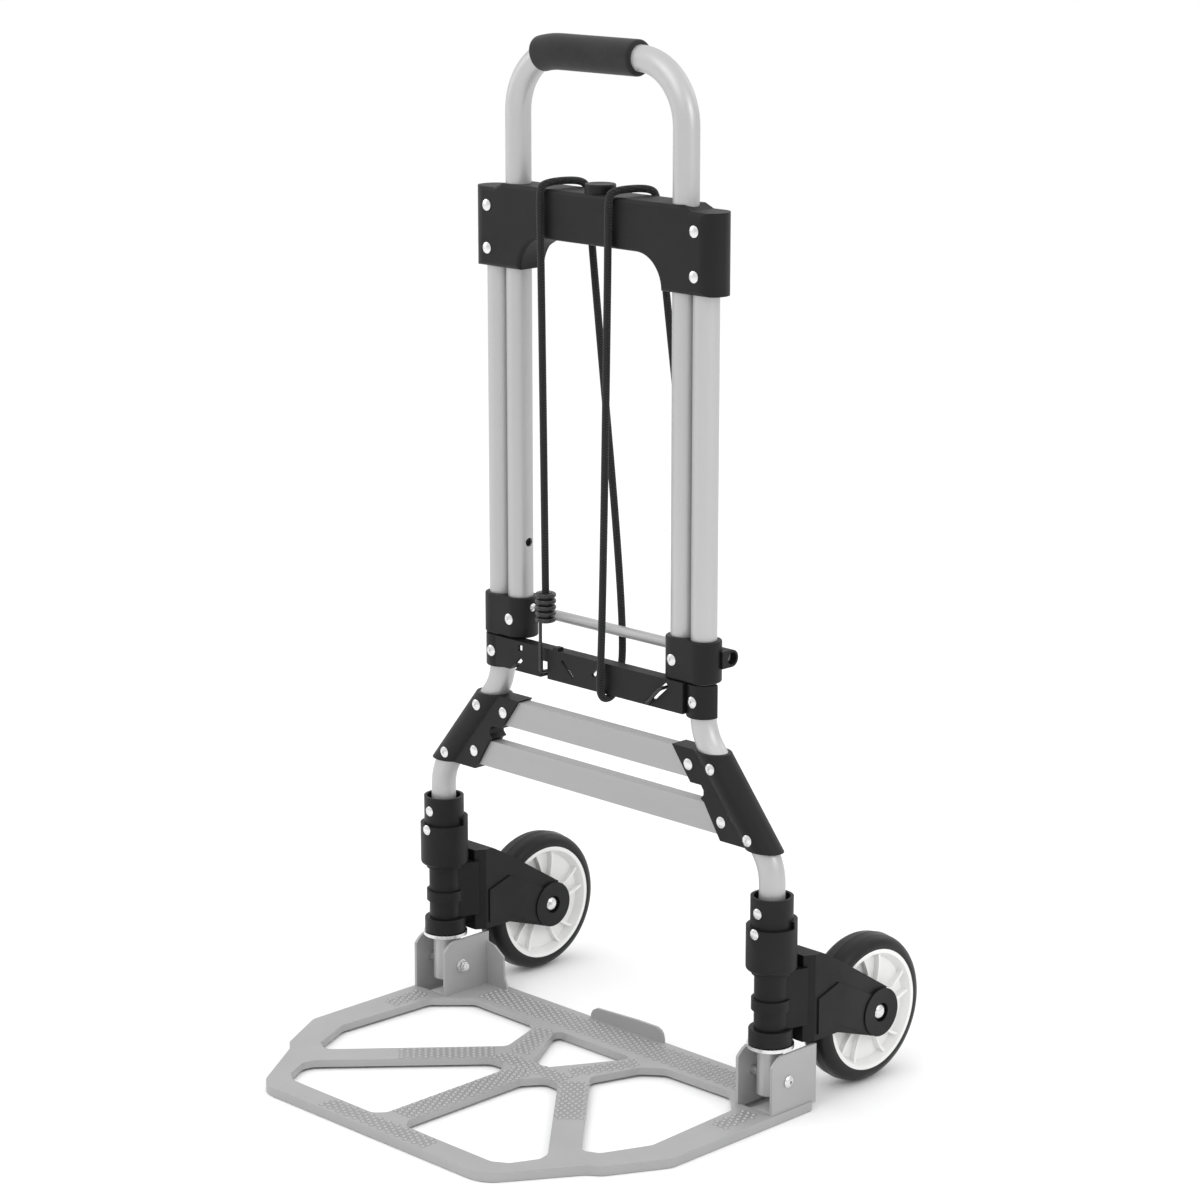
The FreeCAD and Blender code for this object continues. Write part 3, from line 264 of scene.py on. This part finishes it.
def rim_material():
    """Pale moulded plastic with a fine grain."""
    shader = Shader("rim_plastic", (0.82, 0.82, 0.81), 0.42)
    shader.vary_color(shader.noise(25, detail=4), *tones(0.80, 0.03, (1, 1, 0.99)))
    shader.vary_rough(shader.noise(40), 0.36, 0.5)
    shader.bump(shader.noise(900, detail=2), 0.08, 0.0002)
    return shader.material


def tyre_material():
    """Smooth black rubber, dusty in patches."""
    shader = Shader("tyre_rubber", (0.011, 0.011, 0.0115), 0.45)
    shader.bsdf.inputs["Specular IOR Level"].default_value = 0.28
    shader.vary_color(shader.noise(40, detail=7), *tones(0.007, 0.3))
    shader.vary_rough(shader.noise(30, detail=5), 0.28, 0.5)
    shader.bump(shader.noise(700, detail=3), 0.15, 0.0003)
    return shader.material


def steel_material(name, level, rough):
    """Plated steel with fine scratches."""
    shader = Shader(name, (level,) * 3, rough, 1.0)
    shader.vary_color(shader.noise(300, detail=3), *tones(level, 0.06))
    shader.vary_rough(shader.noise(500, detail=4), rough * 0.75, rough * 1.3)
    shader.bump(shader.noise(1800, detail=2), 0.08, 0.0001)
    return shader.material


def cord_material():
    """Braided black sleeve: two crossing families of strands."""
    shader = Shader("cord_fabric", (0.03, 0.03, 0.031), 0.8)
    braid = []
    for slant in (1.0, -1.0):
        wave = shader.node("ShaderNodeTexWave", Scale=190.0, Distortion=0.4, bands_direction="Z")
        mapping = shader.node("ShaderNodeMapping")
        mapping.inputs["Rotation"].default_value = (0.0, 0.62 * slant, 0.62 * slant)
        shader.link(shader.place, mapping.inputs["Vector"])
        shader.link(mapping.outputs["Vector"], wave.inputs["Vector"])
        braid.append(wave.outputs["Fac"])
    crossed = shader.node("ShaderNodeMath", operation="MULTIPLY")
    for socket, value in zip(crossed.inputs, braid):
        shader.link(value, socket)
    weave = crossed.outputs["Value"]
    shader.vary_color(weave, (0.006, 0.006, 0.0065), (0.022, 0.022, 0.023), 0.05, 0.7)
    shader.bump(weave, 0.6, 0.0005)
    shader.bsdf.inputs["Specular IOR Level"].default_value = 0.3
    shader.bsdf.inputs["Sheen Weight"].default_value = 0.1
    return shader.material


def wire_material():
    """Black dipped wire."""
    shader = Shader("hook_wire", (0.03, 0.03, 0.031), 0.28)
    shader.vary_color(shader.noise(90, detail=3), *tones(0.012, 0.2))
    shader.vary_rough(shader.noise(120, detail=3), 0.2, 0.4)
    shader.bump(shader.noise(500, detail=2), 0.1, 0.0002)
    return shader.material


materials = {
    "tube_aluminium": tube_material(), "bar_aluminium": bar_material(),
    "black_plastic": black_plastic_material(), "grip_foam": foam_material(),
    # Besides the plate paint itself there are two copies of it: a darker one (0.25) that is painted shade
    # round each pip, and a lighter one (0.42) that is a painted highlight on the pip domes.
    "plate_paint": plate_material("plate_paint", 0.34), "plate_painted_shade": plate_material("plate_painted_shade", 0.25),
    "pip_painted_highlight": plate_material("pip_painted_highlight", 0.42),
    "rim_plastic": rim_material(), "tyre_rubber": tyre_material(),
    "bright_steel": steel_material("bright_steel", 0.72, 0.26),
    "spring_steel": steel_material("spring_steel", 0.42, 0.35),
    "cord_fabric": cord_material(), "hook_wire": wire_material(),
}


def give(piece, slot):
    """One material on a piece."""
    piece.data.materials.clear()
    piece.data.materials.append(materials[slot])


for part in frame["record"]["subparts"]:
    give(nodes[part["node"]], part["material_slot"])
cord.data.materials.append(materials["cord_fabric"])


# ---------------------------------------------------------------- grip
def add_mesh(name, vertices, faces, slot, body):
    """Mesh piece that rides on a body."""
    mesh = bpy.data.meshes.new(name)
    mesh.from_pydata(vertices, [], faces)
    mesh.validate()
    piece = bpy.data.objects.new(name, mesh)
    scene.collection.objects.link(piece)
    give(piece, slot)
    mesh.shade_smooth()
    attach(piece, body)
    return piece


HANDLE_BEND = 0.045
GRIP_BEND = 0.080
TUBE_RADIUS = 0.0095
GRIP_RADIUS = 0.0130
GRIP_LEFT = -0.0600
GRIP_AROUND = 48
GRIP_LIP = 0.0022
GRIP_CREASE = math.radians(50)
LIP_STEPS = 5
SLEEVE_STEPS = 40
BORE_STEPS = 12
MOST_BEND = 1.2
HALVINGS = 40
handle_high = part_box("handle_tube")[1]
bend_x = handle_high[0] - TUBE_RADIUS - HANDLE_BEND
axis_top = handle_high[2] - TUBE_RADIUS


def grip_line(x):
    """Centre and direction of the sleeve's axis: straight, then curving down to the left."""
    if x > -bend_x:
        return Vector((x, 0, axis_top)), Vector((1, 0, 0))
    lean = math.asin((-x - bend_x) / GRIP_BEND)
    centre = Vector((x, 0, axis_top - GRIP_BEND * (1 - math.cos(lean))))
    return centre, Vector((math.cos(lean), 0, math.sin(lean)))


def tube_centre(place, along):
    """Where the handle tube's axis crosses the plane through a point."""
    if place.x > -bend_x:
        return place.copy()
    low, high = 0.0, MOST_BEND
    for _ in range(HALVINGS):
        angle = (low + high) / 2
        centre = Vector((-bend_x - HANDLE_BEND * math.sin(angle), 0,
                         axis_top - HANDLE_BEND * (1 - math.cos(angle))))
        if (centre - place).dot(along) > 0:
            low = angle
        else:
            high = angle
    return centre


def lip_row(end, inwards, step):
    """One row of an end's rounded lip, from its face (step 0) to the full radius."""
    turn = math.pi / 2 * step / LIP_STEPS
    x = end + inwards * GRIP_LIP * (1 - math.cos(turn))
    return x, GRIP_RADIUS - GRIP_LIP * (1 - math.sin(turn)), False


def sleeve_rows():
    """Rows of (x, radius, bored) from the left bore, over the outside, back to the right bore."""
    rows = [(GRIP_LEFT, TUBE_RADIUS, True)]
    rows += [lip_row(GRIP_LEFT, 1, k) for k in range(LIP_STEPS + 1)]
    start = GRIP_LEFT + GRIP_LIP
    for k in range(1, SLEEVE_STEPS):
        rows.append((start + (bend_x - GRIP_LIP - start) * k / SLEEVE_STEPS, GRIP_RADIUS, False))
    rows += [lip_row(bend_x, -1, k) for k in range(LIP_STEPS, -1, -1)]
    rows += [(GRIP_LEFT + (bend_x - GRIP_LEFT) * (1 - k / BORE_STEPS), TUBE_RADIUS, True)
             for k in range(BORE_STEPS)]
    return rows


def add_grip():
    """Foam sleeve with rounded end lips and a bore that follows the handle tube."""
    vertices, faces = [], []
    rows = sleeve_rows()
    for x, radius, bored in rows:
        centre, along = grip_line(x)
        up = Vector((-along.z, 0, along.x))
        if bored:
            centre = tube_centre(centre, along)
        for j in range(GRIP_AROUND):
            angle = 2 * math.pi * j / GRIP_AROUND
            vertices.append(centre + (Vector((0, 1, 0)) * math.cos(angle) + up * math.sin(angle)) * radius)
    for i in range(len(rows)):
        after = (i + 1) % len(rows)
        for j in range(GRIP_AROUND):
            beside = (j + 1) % GRIP_AROUND
            faces.append((i * GRIP_AROUND + j, i * GRIP_AROUND + beside,
                          after * GRIP_AROUND + beside, after * GRIP_AROUND + j))
    grip = add_mesh("foam_grip", vertices, faces, "grip_foam", "handle")
    bm = bmesh.new()
    bm.from_mesh(grip.data)
    bmesh.ops.recalc_face_normals(bm, faces=bm.faces)
    bm.to_mesh(grip.data)
    bm.free()
    grip.data.set_sharp_from_angle(angle=GRIP_CREASE)
    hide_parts("grip")


add_grip()


# ---------------------------------------------------------------- pips on the toe plate
PLATE_TOP = 0.0070
PIP_RADIUS = 0.00135
PIP_HEIGHT = 0.0007
PIP_STEP = 0.005
PIP_PITCH = PIP_STEP * 0.9
PIP_STAGGER = 0.25
PIP_AROUND = 10
PIP_RINGS = 3
PIP_CREASE = math.radians(60)
# radius and rise of the flat painted-shade disc round each pip
SHADE_DISC_RADIUS = 0.0025
SHADE_DISC_RISE = 0.00005
# strips of pips: start, end, rows; rear rail, hub, middle spoke and front rail
MIDDLE_STRIPS = (
    ((-0.135, 0.015), (0.135, 0.015), 5), ((-0.034, -0.0715), (0.034, -0.0715), 3),
    ((0.0, -0.082), (0.0, -0.200), 4), ((-0.055, -0.2225), (0.055, -0.2225), 3),
)
# the same on each side: leg beside the middle window, side spoke, beside the hinge ears
SIDE_STRIPS = (
    ((0.0480, -0.012), (0.0280, -0.058), 3), ((0.0435, -0.0713), (0.0900, -0.1222), 4),
    ((0.1745, -0.024), (0.1745, -0.060), 3),
)


def pip_strip(start, end, rows):
    """Centres of a staggered strip of pips, several rows wide, from one point to another."""
    start, end = Vector(start), Vector(end)
    along = (end - start).normalized()
    across = Vector((-along.y, along.x))
    places = []
    for i in range(int((end - start).length / PIP_PITCH) + 1):
        shift = PIP_STAGGER if i % 2 else -PIP_STAGGER
        for j in range(rows):
            aside = (j - (rows - 1) / 2 + shift) * PIP_STEP
            places.append(start + along * (i * PIP_PITCH) + across * aside)
    return places


def pip_places():
    """Centres of all pips."""
    places = []
    for start, end, rows in MIDDLE_STRIPS:
        places += pip_strip(start, end, rows)
    for _, sign in SIDES:
        for start, end, rows in SIDE_STRIPS:
            places += pip_strip((sign * start[0], start[1]), (sign * end[0], end[1]), rows)
    return places


def ring_of(bm, place, radius, level):
    """One ring of vertices round a pip's centre."""
    return [bm.verts.new((place.x + radius * math.cos(2 * math.pi * j / PIP_AROUND),
                          place.y + radius * math.sin(2 * math.pi * j / PIP_AROUND), level))
            for j in range(PIP_AROUND)]


def add_pip(bm, place):
    """One domed pip with a painted highlight, in the middle of a flat disc darkened as painted shade."""
    foot = PLATE_TOP + SHADE_DISC_RISE
    rows = [ring_of(bm, place, SHADE_DISC_RADIUS, foot)]
    for k in range(PIP_RINGS):
        turn = math.pi / 2 * k / PIP_RINGS
        rows.append(ring_of(bm, place, PIP_RADIUS * math.cos(turn), foot + PIP_HEIGHT * math.sin(turn)))
    peak = bm.verts.new((place.x, place.y, foot + PIP_HEIGHT))
    for k, (low, high) in enumerate(zip(rows, rows[1:])):
        for j in range(PIP_AROUND):
            beside = (j + 1) % PIP_AROUND
            face = bm.faces.new((low[j], low[beside], high[beside], high[j]))
            # the flat disc takes the darker paint (painted shade), the dome the lighter paint (painted
            # highlight)
            face.material_index = 1 if k == 0 else 0
    for j in range(PIP_AROUND):
        bm.faces.new((rows[-1][j], rows[-1][(j + 1) % PIP_AROUND], peak))


def add_pips():
    """All pips and their painted-shade discs as one piece on the toe plate."""
    mesh = bpy.data.meshes.new("plate_pips")
    # slot 0 is the lighter paint, a painted highlight on the domes; slot 1 is the darker paint, painted
    # shade round them
    for slot in ("pip_painted_highlight", "plate_painted_shade"):
        mesh.materials.append(materials[slot])
    bm = bmesh.new()
    for place in pip_places():
        add_pip(bm, place)
    bm.to_mesh(mesh)
    bm.free()
    piece = bpy.data.objects.new("plate_pips", mesh)
    scene.collection.objects.link(piece)
    mesh.shade_smooth()
    mesh.set_sharp_from_angle(angle=PIP_CREASE)
    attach(piece, "plate")


add_pips()


# ---------------------------------------------------------------- studio
FLOOR_REACH = 60.0
FLOOR_LEVEL = -0.0005
HORIZON, HORIZON_STRENGTH = 0.05, 0.80
ZENITH, ZENITH_STRENGTH = 0.8, 1.18
LIGHT_TARGET = (0, 0, 0.35)
# name, place, size and watts of the broad key and of the fills round it
LIGHTS = (
    ("key", (0.2, -1.6, 2.2), 1.4, 12), ("left_fill", (-2.0, -1.0, 1.2), 1.2, 7),
    ("right_fill", (2.2, 0.2, 1.4), 1.0, 9), ("back_fill", (0.3, 2.2, 1.6), 1.4, 5),
)


def add_floor():
    """Plain pale floor."""
    mesh = bpy.data.meshes.new("floor")
    signs = ((-1, -1), (1, -1), (1, 1), (-1, 1))
    corners = [(a * FLOOR_REACH, b * FLOOR_REACH, FLOOR_LEVEL) for a, b in signs]
    mesh.from_pydata(corners, [], [(0, 1, 2, 3)])
    floor = bpy.data.objects.new("floor", mesh)
    scene.collection.objects.link(floor)
    shader = Shader("floor_paint", (0.92, 0.92, 0.92), 0.9)
    shader.bsdf.inputs["Specular IOR Level"].default_value = 0.1
    shader.vary_color(shader.noise(3), (0.915, 0.915, 0.915), (0.925, 0.925, 0.925))
    mesh.materials.append(shader.material)


def add_area_light(name, place, size, watts):
    """Soft square light aimed at the middle of the cart."""
    data = bpy.data.lights.new(name, "AREA")
    data.energy = watts
    data.size = size
    light = bpy.data.objects.new(name, data)
    light.location = place
    light.rotation_euler = (Vector(LIGHT_TARGET) - Vector(place)).to_track_quat("-Z", "Y").to_euler()
    scene.collection.objects.link(light)


def add_world():
    """White studio surroundings, a little darker towards the horizon."""
    world = bpy.data.worlds.new("studio")
    world.use_nodes = True
    tree = world.node_tree
    tree.nodes["Background"].inputs["Color"].default_value = (1, 1, 1, 1)
    place = tree.nodes.new("ShaderNodeTexCoord")
    split = tree.nodes.new("ShaderNodeSeparateXYZ")
    span = tree.nodes.new("ShaderNodeMapRange")
    span.inputs["From Min"].default_value = HORIZON
    span.inputs["From Max"].default_value = ZENITH
    span.inputs["To Min"].default_value = HORIZON_STRENGTH
    span.inputs["To Max"].default_value = ZENITH_STRENGTH
    tree.links.new(place.outputs["Generated"], split.inputs["Vector"])
    tree.links.new(split.outputs["Z"], span.inputs["Value"])
    tree.links.new(span.outputs["Result"], tree.nodes["Background"].inputs["Strength"])
    scene.world = world


add_floor()
add_world()
for light in LIGHTS:
    add_area_light(*light)
scene.view_settings.view_transform = "Standard"
